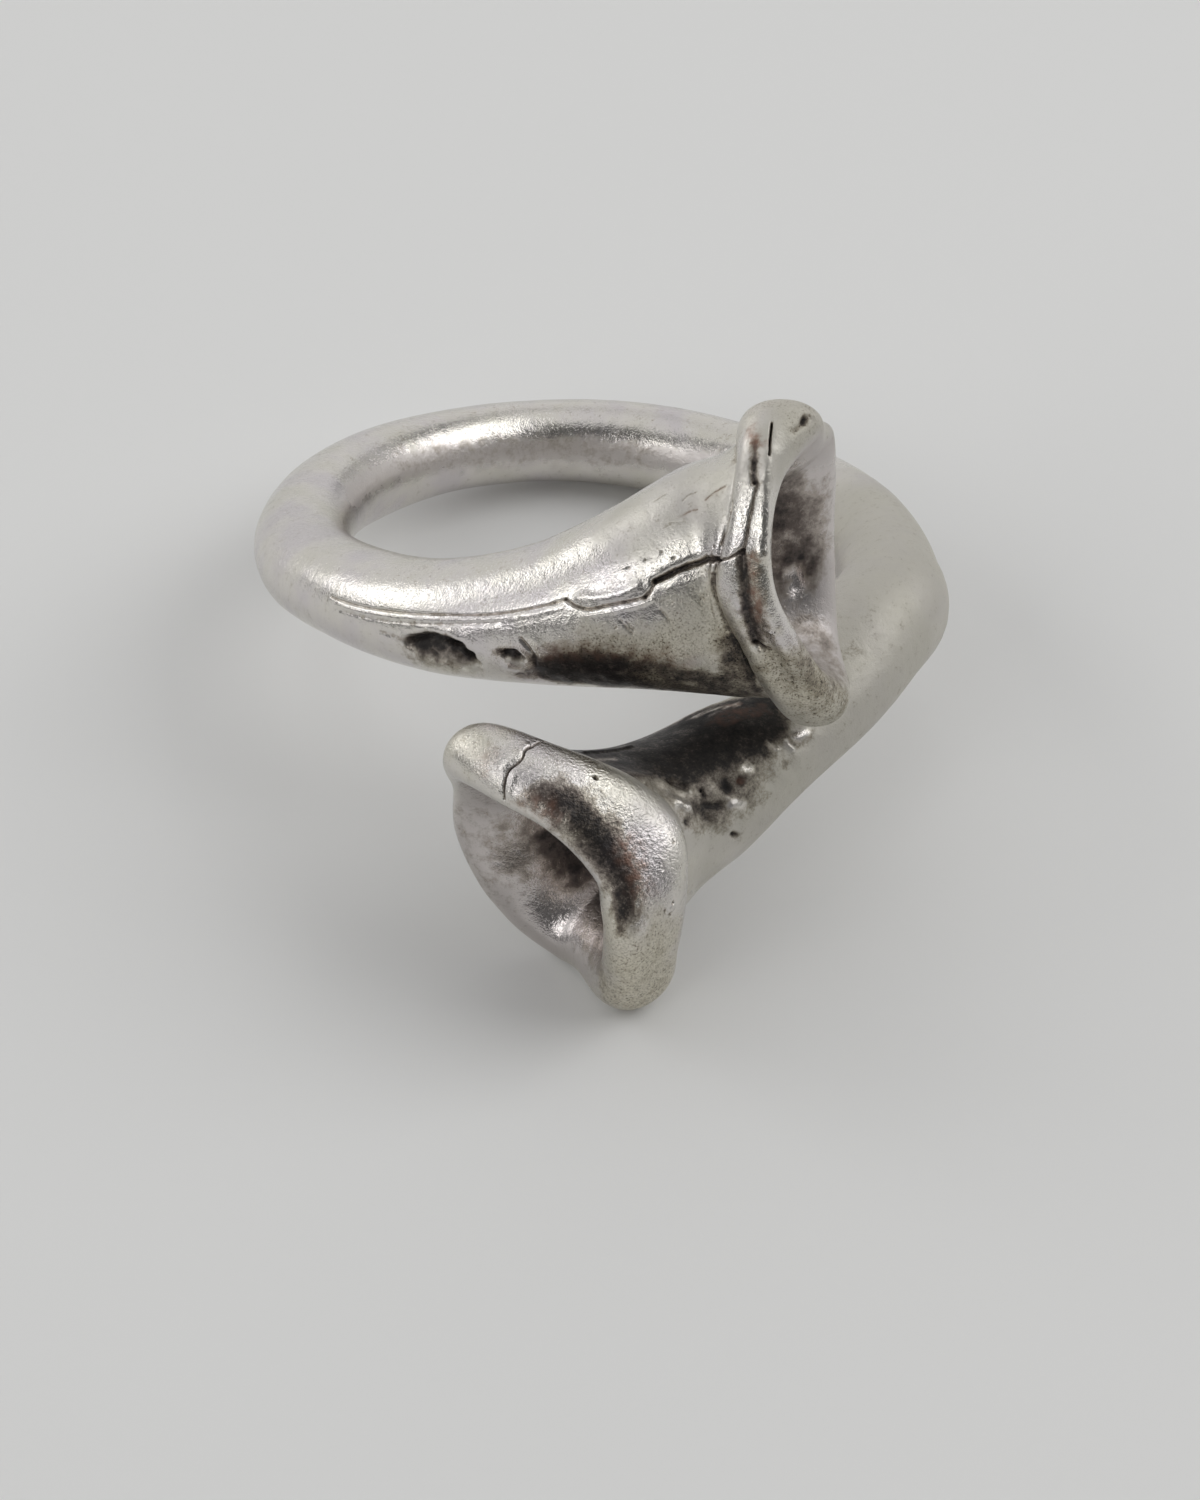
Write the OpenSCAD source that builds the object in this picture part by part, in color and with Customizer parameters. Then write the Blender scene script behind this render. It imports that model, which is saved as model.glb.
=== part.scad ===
// Wrap ring, cast in one piece: a round wire goes once round the finger, and its two ends
// cross at the front, where each swells into an arm and opens into a hollow flower with a
// rolled lip. The left arm passes on top and its flower faces right; the right arm passes
// below and its flower faces left and down.
//
// Millimetres. The ring lies on its side as it rests: floor at z = 0, flowers towards -Y,
// origin under the middle of its bounding box.
//
// Angles round the hoop start at the back (+Y) and grow to the left (-X), so the left arm
// ends near 185 and the right arm near -174. Angles round the wire, or round a flower,
// start on the outer side and grow upwards.

/* [Hoop] */
// Radius of the wire's middle line at the back of the hoop
hoop_radius = 10.65; // [10.35:0.05:10.95]
// Thickness of the wire at the back, inside to outside
wire_thickness = 2.9; // [2.5:0.1:2.9]
// Height of the wire at the back, along the finger
wire_height = 3.2; // [2.8:0.1:3.3]

/* [Upper flower] */
// Turn of the upper mouth from the right towards the front
upper_turn = 22; // [18:1:23]
// Rise of the upper mouth above level
upper_rise = 8; // [7:1:11]
// Angle round the hoop by which the throat reaches into the left arm
upper_depth = 12; // [6:1:14]

/* [Lower flower] */
// Turn of the lower mouth from the left towards the front
lower_turn = 20; // [17:1:23]
// Fall of the lower mouth below level
lower_fall = 35; // [32:1:38]
// Angle round the hoop by which the throat reaches into the right arm
lower_depth = 14; // [8:1:16]

/* [Resting pose] */
// Lift of the front when the ring lies on its lower lip and the back of the hoop
front_lift = 19.4; // [17:0.2:22]
// Lean to the right in that pose
right_lean = 2; // [0:0.25:3]

/* [Mesh] */
// Points round the wire and round each flower
sides = 44; // [36:4:48]
// Steps along the wire between the two flowers
wire_steps = 60; // [48:4:72]
// Steps along a flower's outer wall
wall_steps = 7; // [6:1:8]
// Steps round a flower's rolled lip
lip_steps = 9; // [8:1:10]
// Steps down a flower's throat
throat_steps = 7; // [6:1:8]

/* [Hidden] */

// Columns of the wire's table: angle round the hoop, middle line outward from hoop_radius
// and up, and what the wire has gained since the back in half its thickness and half its height
ANGLE = 0;
OUT = 1;
UP = 2;
THICK = 3;
HIGH = 4;
wire = [
    [-200, 3.95, -7.6, 1.45, 1.8],
    [-185, 2.25, -5.75, 1.3, 1.4],
    [-170, 1.15, -4.35, 1.05, 0.85],
    [-158, 0.7, -3.55, 0.85, 0.3],
    [-145, 0.6, -2.4, 0.8, 0.4],
    [-132, 0.55, -1.35, 0.75, 0.65],
    [-122, 0.65, -0.95, 0.7, 0.65],
    [-112, 0.15, -0.85, 0.55, 0.6],
    [-98, -0.2, -0.8, 0.45, 0.45],
    [-75, -0.25, -0.75, 0.35, 0.3],
    [-45, -0.2, -0.5, 0.25, 0.2],
    [-20, -0.1, -0.05, 0.1, 0.1],
    [0, 0, 0.15, 0, 0],
    [20, 0.05, 0.25, 0.05, 0],
    [45, 0.1, 0.3, 0.15, 0.1],
    [90, 0.2, 0.4, 0.4, 0.05],
    [115, 0.2, 0.8, 0.55, 0.1],
    [140, 0.45, 1.25, 0.75, 0.4],
    [160, 0.65, 1.95, 0.95, 0.95],
    [175, 1.05, 2.7, 1.2, 1.8],
    [190, 1.8, 3.45, 1.5, 2.95],
    [205, 2.8, 3.8, 1.7, 3.3]
];

// Columns of a lip's table: angle round the flower, middle of the rolled edge outward, up
// and forward from the middle of the mouth, the roll's half width along the flower and
// half thickness across it, its lean outward, the depth of the groove along its crown, the
// angle at which the wall flares out into it, and the angles on the roll, counted from its
// inner end by way of its crown, where it meets the wall and where it turns into the throat
FORWARD = 3;
ROLL_WIDE = 4;
ROLL_THICK = 5;
LEAN = 6;
GROOVE = 7;
FLARE = 8;
ROLL_START = 9;
ROLL_END = 10;
upper_lip = [
    [0, 3.2, 0.6, -1.5, 1.1, 0.75, 20, 0.25, -8, 153, -70],
    [30, 2.8, 2.7, -1.1, 0.8, 0.7, 20, 0.15, -4, 155, -60],
    [60, 1.8, 4.3, -0.65, 0.85, 0.85, 10, 0, 15, 175, -40],
    [90, 0.1, 5.1, -0.1, 1.4, 1, 0, 0, 35, 200, -30],
    [105, -0.9, 4.2, 0.15, 1.05, 0.75, 5, 0, 20, 185, -30],
    [120, -1.75, 3.85, 0.6, 0.75, 0.5, 10, 0, 10, 175, -30],
    [150, -2.55, 2.05, 0.6, 0.5, 0.4, 20, 0, -5, 160, -30],
    [180, -2.8, 0, 0.3, 0.45, 0.4, 20, 0, -10, 155, -30],
    [210, -2.6, -1.95, 0.1, 0.45, 0.4, 20, 0, -10, 155, -30],
    [240, -1.7, -3.85, -0.1, 0.65, 0.5, 10, 0, 0, 165, -30],
    [270, 0.1, -5.05, -0.15, 1.2, 1.1, 5, 0, 15, 180, -40],
    [300, 1.8, -3.85, -0.45, 1.1, 0.9, 10, 0.1, 5, 160, -60],
    [330, 2.8, -1.6, -1, 1.1, 0.8, 20, 0.3, -5, 153, -70]
];
lower_lip = [
    [0, 3.8, 0.15, -1.2, 1.95, 1.1, 20, 0.2, 35, 200, -70],
    [30, 3.35, 2.2, -1, 1.7, 0.95, 20, 0.1, 40, 205, -65],
    [60, 2.1, 3.95, -0.3, 1.45, 0.95, 15, 0, 45, 210, -50],
    [90, 0.2, 4.95, 0.3, 1.1, 1, 5, 0, 45, 210, -40],
    [120, -1.4, 3.45, 0.75, 0.7, 0.55, 10, 0, 30, 195, -30],
    [150, -2.5, 1.8, 1.7, 0.5, 0.4, 20, 0, 5, 170, -25],
    [180, -2.7, -0.2, 2.25, 0.5, 0.4, 20, 0, -10, 155, -25],
    [210, -2.5, -2.2, 2.35, 0.5, 0.4, 20, 0, -15, 150, -25],
    [240, -1.6, -3.75, 2, 0.6, 0.5, 15, 0, -10, 155, -30],
    [255, -0.5, -4.1, 1.75, 0.75, 0.65, 8, 0, 0, 165, -40],
    [270, 0.9, -4.8, 1.4, 1.4, 1.4, 0, 0, 10, 175, -50],
    [300, 2.45, -3.9, 0.9, 1.6, 1.15, 5, 0.2, 20, 185, -60],
    [330, 3.95, -1.75, -0.25, 2.1, 1.25, 15, 0.3, 25, 190, -70],
    [345, 4, -0.85, -0.8, 2.15, 1.3, 18, 0.3, 30, 195, -70]
];

// What a flower is made from: the side it faces, 1 right and -1 left, the angle round the
// hoop where the arm opens into it, the turn and rise of its mouth, the middle of the
// mouth, the throat's reach into the arm, its width there as a share of the arm's, the
// distance it keeps that width past the arm's end, and the table of its lip
SIDE = 0;
START = 1;
TURN = 2;
RISE = 3;
MOUTH = 4;
DEPTH = 5;
BORE = 6;
AHEAD = 7;
LIP = 8;
upper_flower = [
    1, 185, upper_turn, upper_rise, [4.4, -hoop_radius - 2.55, 4.2], upper_depth, 0.6, 0.5,
    upper_lip
];
lower_flower = [
    -1, -174, lower_turn, -lower_fall, [-4.2, -hoop_radius - 3.35, -5.24], lower_depth,
    0.55, 0.8, lower_lip
];

// The wall leaves the arm and meets the lip over these shares of its length
leave_share = 0.4;
arrive_share = 0.35;
groove_at = 75;
groove_width = 30;
// The throat leaves the lip over this share of its depth and ends this wide
inflare_share = 0.3;
throat_end = 0.15;

function unit(v) = v / norm(v);

function bezier(a, b, c, d, u) =
    (1 - u) ^ 3 * a + 3 * u * (1 - u) ^ 2 * b + 3 * u ^ 2 * (1 - u) * c + u ^ 3 * d;

// A table's row at any angle, on a smooth curve through its rows
function row_before(rows, angle, i = 0) =
    i >= len(rows) - 2 || angle < rows[i + 1][ANGLE] ? i : row_before(rows, angle, i + 1);

function slope(rows, i) =
    let (before = rows[max(i - 1, 0)], after = rows[min(i + 1, len(rows) - 1)])
    (after - before) / (after[ANGLE] - before[ANGLE]);

function row_at(rows, angle) =
    let (
        i = row_before(rows, angle),
        third = (rows[i + 1][ANGLE] - rows[i][ANGLE]) / 3,
        u = (angle - rows[i][ANGLE]) / (3 * third)
    )
    bezier(
        rows[i], rows[i] + slope(rows, i) * third,
        rows[i + 1] - slope(rows, i + 1) * third, rows[i + 1], u
    );

// The same for a table that goes all the way round: its ends are repeated a turn away
function turned(row, by) = [row[ANGLE] + by, each [for (i = [1:len(row) - 1]) row[i]]];

function looped(rows) =
    let (n = len(rows))
    [
        turned(rows[n - 2], -360), turned(rows[n - 1], -360), each rows,
        turned(rows[0], 360), turned(rows[1], 360)
    ];

// Three square directions: along, as near to outward as it can be, and upward
function directions(along, outward) =
    let (
        out = unit(outward - along * (outward * along)),
        third = cross(out, along)
    )
    [along, out, third.z < 0 ? -third : third];

// The wire: its middle line, its directions there, and a ring of points round it
function wire_middle(psi) =
    let (section = row_at(wire, psi), r = hoop_radius + section[OUT])
    [-r * sin(psi), r * cos(psi), section[UP]];

function wire_directions(psi) =
    directions(unit(wire_middle(psi + 0.5) - wire_middle(psi - 0.5)), [-sin(psi), cos(psi), 0]);

function wire_ring(psi) =
    let (
        section = row_at(wire, psi),
        thick = wire_thickness / 2 + section[THICK],
        high = wire_height / 2 + section[HIGH],
        middle = wire_middle(psi),
        ways = wire_directions(psi)
    )
    [for (i = [0:sides - 1])
        let (a = i * 360 / sides)
        middle + [0, thick * cos(a), high * sin(a)] * ways
    ];

// The direction in which a flower's mouth looks
function facing(flower) =
    [
        flower[SIDE] * cos(flower[TURN]) * cos(flower[RISE]),
        -sin(flower[TURN]) * cos(flower[RISE]),
        sin(flower[RISE])
    ];

// One line down a flower, at one angle round it: from the neck, where the arm ends, out
// along the wall, round the rolled lip and down the throat
function petal_line(flower, angle, neck, swelling, throat_bottom) =
    let (
        start = flower[START],
        middle = wire_middle(start),
        onward = wire_directions(start)[0] * flower[SIDE],
        ways = directions(facing(flower), [0, -1, 0]),
        lip = row_at(looped(flower[LIP]), angle),
        radial = unit([0, lip[OUT], lip[UP]] * ways),
        rolled = flower[MOUTH] + [lip[FORWARD], lip[OUT], lip[UP]] * ways,
        wide = ways[0] * cos(lip[LEAN]) + radial * sin(lip[LEAN]),
        thick = radial * cos(lip[LEAN]) - ways[0] * sin(lip[LEAN]),
        roll = function (a)
            let (dip = lip[GROOVE] * exp(-((a - groove_at) / groove_width) ^ 2))
            rolled + wide * lip[ROLL_WIDE] * cos(a) + thick * (lip[ROLL_THICK] * sin(a) - dip),
        first = lip[ROLL_START],
        edge = roll(first),
        last = lip[ROLL_END],
        brim = roll(last),
        inward = unit(wide * lip[ROLL_WIDE] * sin(last) - thick * lip[ROLL_THICK] * cos(last)),
        arrive = ways[0] * cos(lip[FLARE]) + radial * sin(lip[FLARE]),
        length = norm(edge - neck),
        leaving = neck + swelling * length * leave_share,
        arriving = edge - arrive * length * arrive_share,
        core = middle + onward * flower[AHEAD],
        entering = brim + inward * norm(brim - core) * inflare_share,
        bore = core + (neck - middle) * flower[BORE]
    )
    [
        for (k = [1:wall_steps - 1]) bezier(neck, leaving, arriving, edge, k / wall_steps),
        for (k = [0:lip_steps]) roll(first + (last - first) * k / lip_steps),
        for (k = [1:throat_steps])
            bezier(brim, entering, bore, throat_bottom, k / throat_steps)
    ];

// A flower as rings of points, from just past the neck to the bottom of the throat
function flower_rings(flower) =
    let (
        neck = wire_ring(flower[START]),
        before = wire_ring(flower[START] - flower[SIDE] * 0.5),
        deep = flower[START] - flower[SIDE] * flower[DEPTH],
        centre = wire_middle(deep),
        deep_ring = wire_ring(deep),
        lines = [for (i = [0:sides - 1])
            petal_line(
                flower, i * 360 / sides, neck[i], unit(neck[i] - before[i]),
                centre + (deep_ring[i] - centre) * throat_end
            )
        ]
    )
    [for (k = [0:len(lines[0]) - 1]) [for (line = lines) line[k]]];

function reversed(list) = [for (i = [len(list) - 1:-1:0]) list[i]];

// The whole ring as rings of points, from the lower throat round the hoop to the upper one
function ring_of_rings() =
    let (first = lower_flower[START], last = upper_flower[START])
    [
        each reversed(flower_rings(lower_flower)),
        for (k = [0:wire_steps]) wire_ring(first + (last - first) * k / wire_steps),
        each flower_rings(upper_flower)
    ];

// A point turned into the resting pose
function rested(p) =
    let (
        y = p.y * cos(front_lift) + p.z * sin(front_lift),
        z = p.z * cos(front_lift) - p.y * sin(front_lift)
    )
    [
        p.x * cos(right_lean) + z * sin(right_lean),
        y,
        z * cos(right_lean) - p.x * sin(right_lean)
    ];

function mean(list) = list * [for (p = list) 1] / len(list);

module swept(rings) {
    count = len(rings);
    points = [for (ring = rings) each ring];
    side_faces = [for (k = [0:count - 2], i = [0:sides - 1])
        let (a = k * sides + i, b = k * sides + (i + 1) % sides)
        each [[a, b, b + sides], [a, b + sides, a + sides]]
    ];
    first_cap = [for (i = [0:sides - 1]) [i, count * sides, (i + 1) % sides]];
    last_cap = [for (i = [0:sides - 1])
        let (base = (count - 1) * sides)
        [base + (i + 1) % sides, count * sides + 1, base + i]
    ];
    polyhedron(
        points = [
            each points,
            [for (axis = [0:2]) mean([for (p = rings[0]) p[axis]])],
            [for (axis = [0:2]) mean([for (p = rings[count - 1]) p[axis]])]
        ],
        faces = concat(side_faces, first_cap, last_cap),
        convexity = 8
    );
}

module wrap_ring() {
    rings = [for (ring = ring_of_rings()) [for (p = ring) rested(p)]];
    all = [for (ring = rings) each ring];
    low = [for (axis = [0:2]) min([for (p = all) p[axis]])];
    high = [for (axis = [0:2]) max([for (p = all) p[axis]])];
    color("silver")
        translate([-(low.x + high.x) / 2, -(low.y + high.y) / 2, -low.z])
            swept(rings);
}

wrap_ring();
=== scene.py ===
"""Looks of the wrap ring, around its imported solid.

The ring's skin is rebuilt from the same named sizes and tables as the solid, finer, with the
seams, cracks, pits and dents that the real casting shows. Sizes are in millimetres in the
tables and in metres in Blender.
"""
import math

import bmesh
import bpy
import numpy as np
from mathutils import Matrix, Vector, noise


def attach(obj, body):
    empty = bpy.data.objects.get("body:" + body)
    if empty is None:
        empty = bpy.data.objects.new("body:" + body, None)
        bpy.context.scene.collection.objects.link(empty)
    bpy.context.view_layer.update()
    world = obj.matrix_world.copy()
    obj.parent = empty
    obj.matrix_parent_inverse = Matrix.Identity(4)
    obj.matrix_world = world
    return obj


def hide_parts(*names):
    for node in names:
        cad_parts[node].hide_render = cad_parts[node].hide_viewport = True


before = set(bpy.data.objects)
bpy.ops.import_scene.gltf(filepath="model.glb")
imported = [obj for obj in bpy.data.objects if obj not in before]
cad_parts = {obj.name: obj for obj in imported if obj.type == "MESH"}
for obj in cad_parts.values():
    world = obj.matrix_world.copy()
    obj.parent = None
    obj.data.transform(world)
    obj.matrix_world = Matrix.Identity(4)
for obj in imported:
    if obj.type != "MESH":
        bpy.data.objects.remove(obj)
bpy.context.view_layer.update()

MM = 0.001

# The hoop: radius of the wire's middle line, thickness and height of the wire, all at the back
HOOP_RADIUS = 10.65
WIRE_THICKNESS = 2.9
WIRE_HEIGHT = 3.2

# The resting pose: the front lifted by the lower lip, and a small lean to the right
FRONT_LIFT = math.radians(19.4)
RIGHT_LEAN = math.radians(2)

# The wire round the hoop. Columns: angle from the back, middle line outward and up, and what
# the wire has gained since the back in half its thickness and half its height
WIRE = [
    (-200, 3.95, -7.6, 1.45, 1.8),
    (-185, 2.25, -5.75, 1.3, 1.4),
    (-170, 1.15, -4.35, 1.05, 0.85),
    (-158, 0.7, -3.55, 0.85, 0.3),
    (-145, 0.6, -2.4, 0.8, 0.4),
    (-132, 0.55, -1.35, 0.75, 0.65),
    (-122, 0.65, -0.95, 0.7, 0.65),
    (-112, 0.15, -0.85, 0.55, 0.6),
    (-98, -0.2, -0.8, 0.45, 0.45),
    (-75, -0.25, -0.75, 0.35, 0.3),
    (-45, -0.2, -0.5, 0.25, 0.2),
    (-20, -0.1, -0.05, 0.1, 0.1),
    (0, 0, 0.15, 0, 0),
    (20, 0.05, 0.25, 0.05, 0),
    (45, 0.1, 0.3, 0.15, 0.1),
    (90, 0.2, 0.4, 0.4, 0.05),
    (115, 0.2, 0.8, 0.55, 0.1),
    (140, 0.45, 1.25, 0.75, 0.4),
    (160, 0.65, 1.95, 0.95, 0.95),
    (175, 1.05, 2.7, 1.2, 1.8),
    (190, 1.8, 3.45, 1.5, 2.95),
    (205, 2.8, 3.8, 1.7, 3.3),
]

# A lip round its flower. Columns: angle, middle of the rolled edge outward, up and forward,
# the roll's half width and half thickness, its lean, the depth of its groove, the angle at
# which the wall flares out into it, and the angles on the roll where it meets the wall and
# where it turns into the throat
UPPER_LIP = [
    (0, 3.2, 0.6, -1.5, 1.1, 0.75, 20, 0.25, -8, 153, -70),
    (30, 2.8, 2.7, -1.1, 0.8, 0.7, 20, 0.15, -4, 155, -60),
    (60, 1.8, 4.3, -0.65, 0.85, 0.85, 10, 0, 15, 175, -40),
    (90, 0.1, 5.1, -0.1, 1.4, 1, 0, 0, 35, 200, -30),
    (105, -0.9, 4.2, 0.15, 1.05, 0.75, 5, 0, 20, 185, -30),
    (120, -1.75, 3.85, 0.6, 0.75, 0.5, 10, 0, 10, 175, -30),
    (150, -2.55, 2.05, 0.6, 0.5, 0.4, 20, 0, -5, 160, -30),
    (180, -2.8, 0, 0.3, 0.45, 0.4, 20, 0, -10, 155, -30),
    (210, -2.6, -1.95, 0.1, 0.45, 0.4, 20, 0, -10, 155, -30),
    (240, -1.7, -3.85, -0.1, 0.65, 0.5, 10, 0, 0, 165, -30),
    (270, 0.1, -5.05, -0.15, 1.2, 1.1, 5, 0, 15, 180, -40),
    (300, 1.8, -3.85, -0.45, 1.1, 0.9, 10, 0.1, 5, 160, -60),
    (330, 2.8, -1.6, -1, 1.1, 0.8, 20, 0.3, -5, 153, -70),
]
LOWER_LIP = [
    (0, 3.8, 0.15, -1.2, 1.95, 1.1, 20, 0.2, 35, 200, -70),
    (30, 3.35, 2.2, -1, 1.7, 0.95, 20, 0.1, 40, 205, -65),
    (60, 2.1, 3.95, -0.3, 1.45, 0.95, 15, 0, 45, 210, -50),
    (90, 0.2, 4.95, 0.3, 1.1, 1, 5, 0, 45, 210, -40),
    (120, -1.4, 3.45, 0.75, 0.7, 0.55, 10, 0, 30, 195, -30),
    (150, -2.5, 1.8, 1.7, 0.5, 0.4, 20, 0, 5, 170, -25),
    (180, -2.7, -0.2, 2.25, 0.5, 0.4, 20, 0, -10, 155, -25),
    (210, -2.5, -2.2, 2.35, 0.5, 0.4, 20, 0, -15, 150, -25),
    (240, -1.6, -3.75, 2, 0.6, 0.5, 15, 0, -10, 155, -30),
    (255, -0.5, -4.1, 1.75, 0.75, 0.65, 8, 0, 0, 165, -40),
    (270, 0.9, -4.8, 1.4, 1.4, 1.4, 0, 0, 10, 175, -50),
    (300, 2.45, -3.9, 0.9, 1.6, 1.15, 5, 0.2, 20, 185, -60),
    (330, 3.95, -1.75, -0.25, 2.1, 1.25, 15, 0.3, 25, 190, -70),
    (345, 4, -0.85, -0.8, 2.15, 1.3, 18, 0.3, 30, 195, -70),
]

# A flower: the side it faces, the angle round the hoop where its arm ends, the turn and rise
# of its mouth, the middle of the mouth, and its throat's reach into the arm, width and lead
UPPER = {
    "side": 1, "start": 185, "turn": 22, "rise": 8, "mouth": (4.4, -13.2, 4.2),
    "depth": 12, "bore": 0.6, "ahead": 0.5, "lip": UPPER_LIP,
}
LOWER = {
    "side": -1, "start": -174, "turn": 20, "rise": -35, "mouth": (-4.2, -14, -5.24),
    "depth": 14, "bore": 0.55, "ahead": 0.8, "lip": LOWER_LIP,
}

# How far a wall's curve holds its first and its last direction, as shares of its span
LEAVE_SHARE = 0.4
ARRIVE_SHARE = 0.35

# The groove on a lip's roll: the angle where it lies and its half width, in degrees
GROOVE_AT = 75
GROOVE_WIDTH = 30

# How far a throat's curve holds its first direction, as a share of the way to its lead, and
# the size of its bottom, as a share of the wire there
INFLARE_SHARE = 0.3
THROAT_END = 0.15

# How far to either side the wire's direction is taken, in degrees of the hoop
SLOPE_STEP = 0.5

# The skin is a tube that runs from the bottom of the lower throat, round the hoop, to the
# bottom of the upper one. Its length is counted in degrees of the hoop, and goes on past
# each arm's end for these lengths along the wall, round the lip and down the throat
WALL = 20
LIP = 50
THROAT = 40


def sin(degrees):
    return np.sin(np.radians(degrees))


def cos(degrees):
    return np.cos(np.radians(degrees))


def unit(v):
    return v / np.linalg.norm(v, axis=-1, keepdims=True)


def column(values):
    return np.asarray(values, float)[..., None]


def bezier(a, b, c, d, u):
    """Points on the curve from a to d, which b and c pull towards themselves."""
    return (1 - u) ** 3 * a + 3 * u * (1 - u) ** 2 * b + 3 * u**2 * (1 - u) * c + u**3 * d


def rows_at(table, angles):
    """A table's rows at any angles, on a smooth curve through its rows."""
    rows = np.array(table, float)
    x = rows[:, 0]
    last = len(rows) - 1
    before = np.maximum(np.arange(len(rows)) - 1, 0)
    after = np.minimum(np.arange(len(rows)) + 1, last)
    slopes = (rows[after] - rows[before]) / (x[after] - x[before])[:, None]
    i = np.clip(np.searchsorted(x, angles, side="right") - 1, 0, last - 1)
    third = column((x[i + 1] - x[i]) / 3)
    u = column(angles - x[i]) / (3 * third)
    first, final = rows[i], rows[i + 1]
    return bezier(first, first + slopes[i] * third, final - slopes[i + 1] * third, final, u)


def looped(table):
    """The table with its two rows at each end repeated a turn away."""
    before = [(row[0] - 360, *row[1:]) for row in table[-2:]]
    after = [(row[0] + 360, *row[1:]) for row in table[:2]]
    return [*before, *table, *after]


def directions(along, outward):
    """Three square directions: along, as near to outward as it can be, and upward."""
    out = unit(outward - along * (outward * along).sum(-1, keepdims=True))
    third = np.cross(out, along)
    third = np.where(third[..., 2:] < 0, -third, third)
    return along, out, third


def wire_middle(psi):
    """The wire's middle line, at angles psi from the back of the hoop."""
    row = rows_at(WIRE, psi)
    r = HOOP_RADIUS + row[..., 1]
    return np.stack([-r * sin(psi), r * cos(psi), row[..., 2]], -1)


def wire_directions(psi):
    """Directions along the wire, outward and upward."""
    outward = np.stack([-sin(psi), cos(psi), np.zeros_like(psi)], -1)
    return directions(unit(wire_middle(psi + SLOPE_STEP) - wire_middle(psi - SLOPE_STEP)), outward)


def wire_skin(psi, angle):
    """Points of the wire's skin, at angles round it that count from its outer side upward."""
    row = rows_at(WIRE, psi)
    _, out, up = wire_directions(psi)
    thick = WIRE_THICKNESS / 2 + row[..., 3]
    high = WIRE_HEIGHT / 2 + row[..., 4]
    return wire_middle(psi) + out * column(thick * cos(angle)) + up * column(high * sin(angle))


def flower_skin(flower, past, angle):
    """Points of a flower's skin, at a length past its arm's end and an angle round it."""
    side, start = flower["side"], np.full_like(angle, flower["start"])
    turn, rise = flower["turn"], flower["rise"]
    ahead = np.array([side * cos(turn) * cos(rise), -sin(turn) * cos(rise), sin(rise)])
    ahead, out, up = directions(ahead, np.array([0.0, -1.0, 0.0]))
    row = rows_at(looped(flower["lip"]), angle % 360)
    _, outward, upward, forward, wide, thick, lean, groove, flare, first, last = row.T[..., None]
    radial = unit(out * outward + up * upward)
    middle = np.array(flower["mouth"]) + ahead * forward + out * outward + up * upward
    long_way = ahead * cos(lean) + radial * sin(lean)
    short_way = radial * cos(lean) - ahead * sin(lean)

    def roll(a):
        """Points on the lip's rolled edge, at an angle on the roll."""
        dip = groove * np.exp(-(((a - GROOVE_AT) / GROOVE_WIDTH) ** 2))
        return middle + long_way * wide * cos(a) + short_way * (thick * sin(a) - dip)

    neck = wire_skin(start, angle)
    swelling = unit(neck - wire_skin(start - side * SLOPE_STEP, angle))
    core = wire_middle(start)
    onward = wire_directions(start)[0] * side
    edge, brim = roll(first), roll(last)
    inward = unit(long_way * wide * sin(last) - short_way * thick * cos(last))
    arrive = ahead * cos(flare) + radial * sin(flare)
    span = np.linalg.norm(edge - neck, axis=-1, keepdims=True)
    leaving = neck + swelling * span * LEAVE_SHARE
    arriving = edge - arrive * span * ARRIVE_SHARE
    wall = bezier(neck, leaving, arriving, edge, column(np.clip(past / WALL, 0, 1)))
    lip = roll(first + (last - first) * column(np.clip((past - WALL) / LIP, 0, 1)))
    deep = start - side * flower["depth"]
    bottom = wire_middle(deep) + (wire_skin(deep, angle) - wire_middle(deep)) * THROAT_END
    lead = core + onward * flower["ahead"]
    entering = brim + inward * np.linalg.norm(brim - lead, axis=-1, keepdims=True) * INFLARE_SHARE
    bore = lead + (neck - core) * flower["bore"]
    throat = bezier(brim, entering, bore, bottom, column(np.clip((past - WALL - LIP) / THROAT, 0, 1)))
    past = column(past)
    return np.where(past < WALL, wall, np.where(past < WALL + LIP, lip, throat))


def skin(along, angle):
    """Points of the ring's skin in its own frame, where the hoop lies level, in millimetres."""
    along, angle = np.asarray(along, float), np.asarray(angle, float)
    upper, lower = along > UPPER["start"], along < LOWER["start"]
    points = wire_skin(np.clip(along, LOWER["start"], UPPER["start"]), angle)
    if upper.any():
        points[upper] = flower_skin(UPPER, along[upper] - UPPER["start"], angle[upper])
    if lower.any():
        points[lower] = flower_skin(LOWER, LOWER["start"] - along[lower], angle[lower])
    return points


def rested(points):
    """The points turned into the resting pose."""
    x, y, z = points[..., 0], points[..., 1], points[..., 2]
    ahead = y * math.cos(FRONT_LIFT) + z * math.sin(FRONT_LIFT)
    up = z * math.cos(FRONT_LIFT) - y * math.sin(FRONT_LIFT)
    lean_x = x * math.cos(RIGHT_LEAN) + up * math.sin(RIGHT_LEAN)
    return np.stack([lean_x, ahead, up * math.cos(RIGHT_LEAN) - x * math.sin(RIGHT_LEAN)], -1)


# The CAD solid's own mesh, whose box places the ring in the frame: its sides and steps
SOLID_SIDES = 44
SOLID_WIRE_STEPS = 60
SOLID_WALL_STEPS = 7
SOLID_LIP_STEPS = 9
SOLID_THROAT_STEPS = 7

# The skin's mesh: points round it, and its steps along the wire and each flower's zones
SIDES = 104
WIRE_STEPS = 240
WALL_STEPS = 18
LIP_STEPS = 32
THROAT_STEPS = 20

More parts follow.
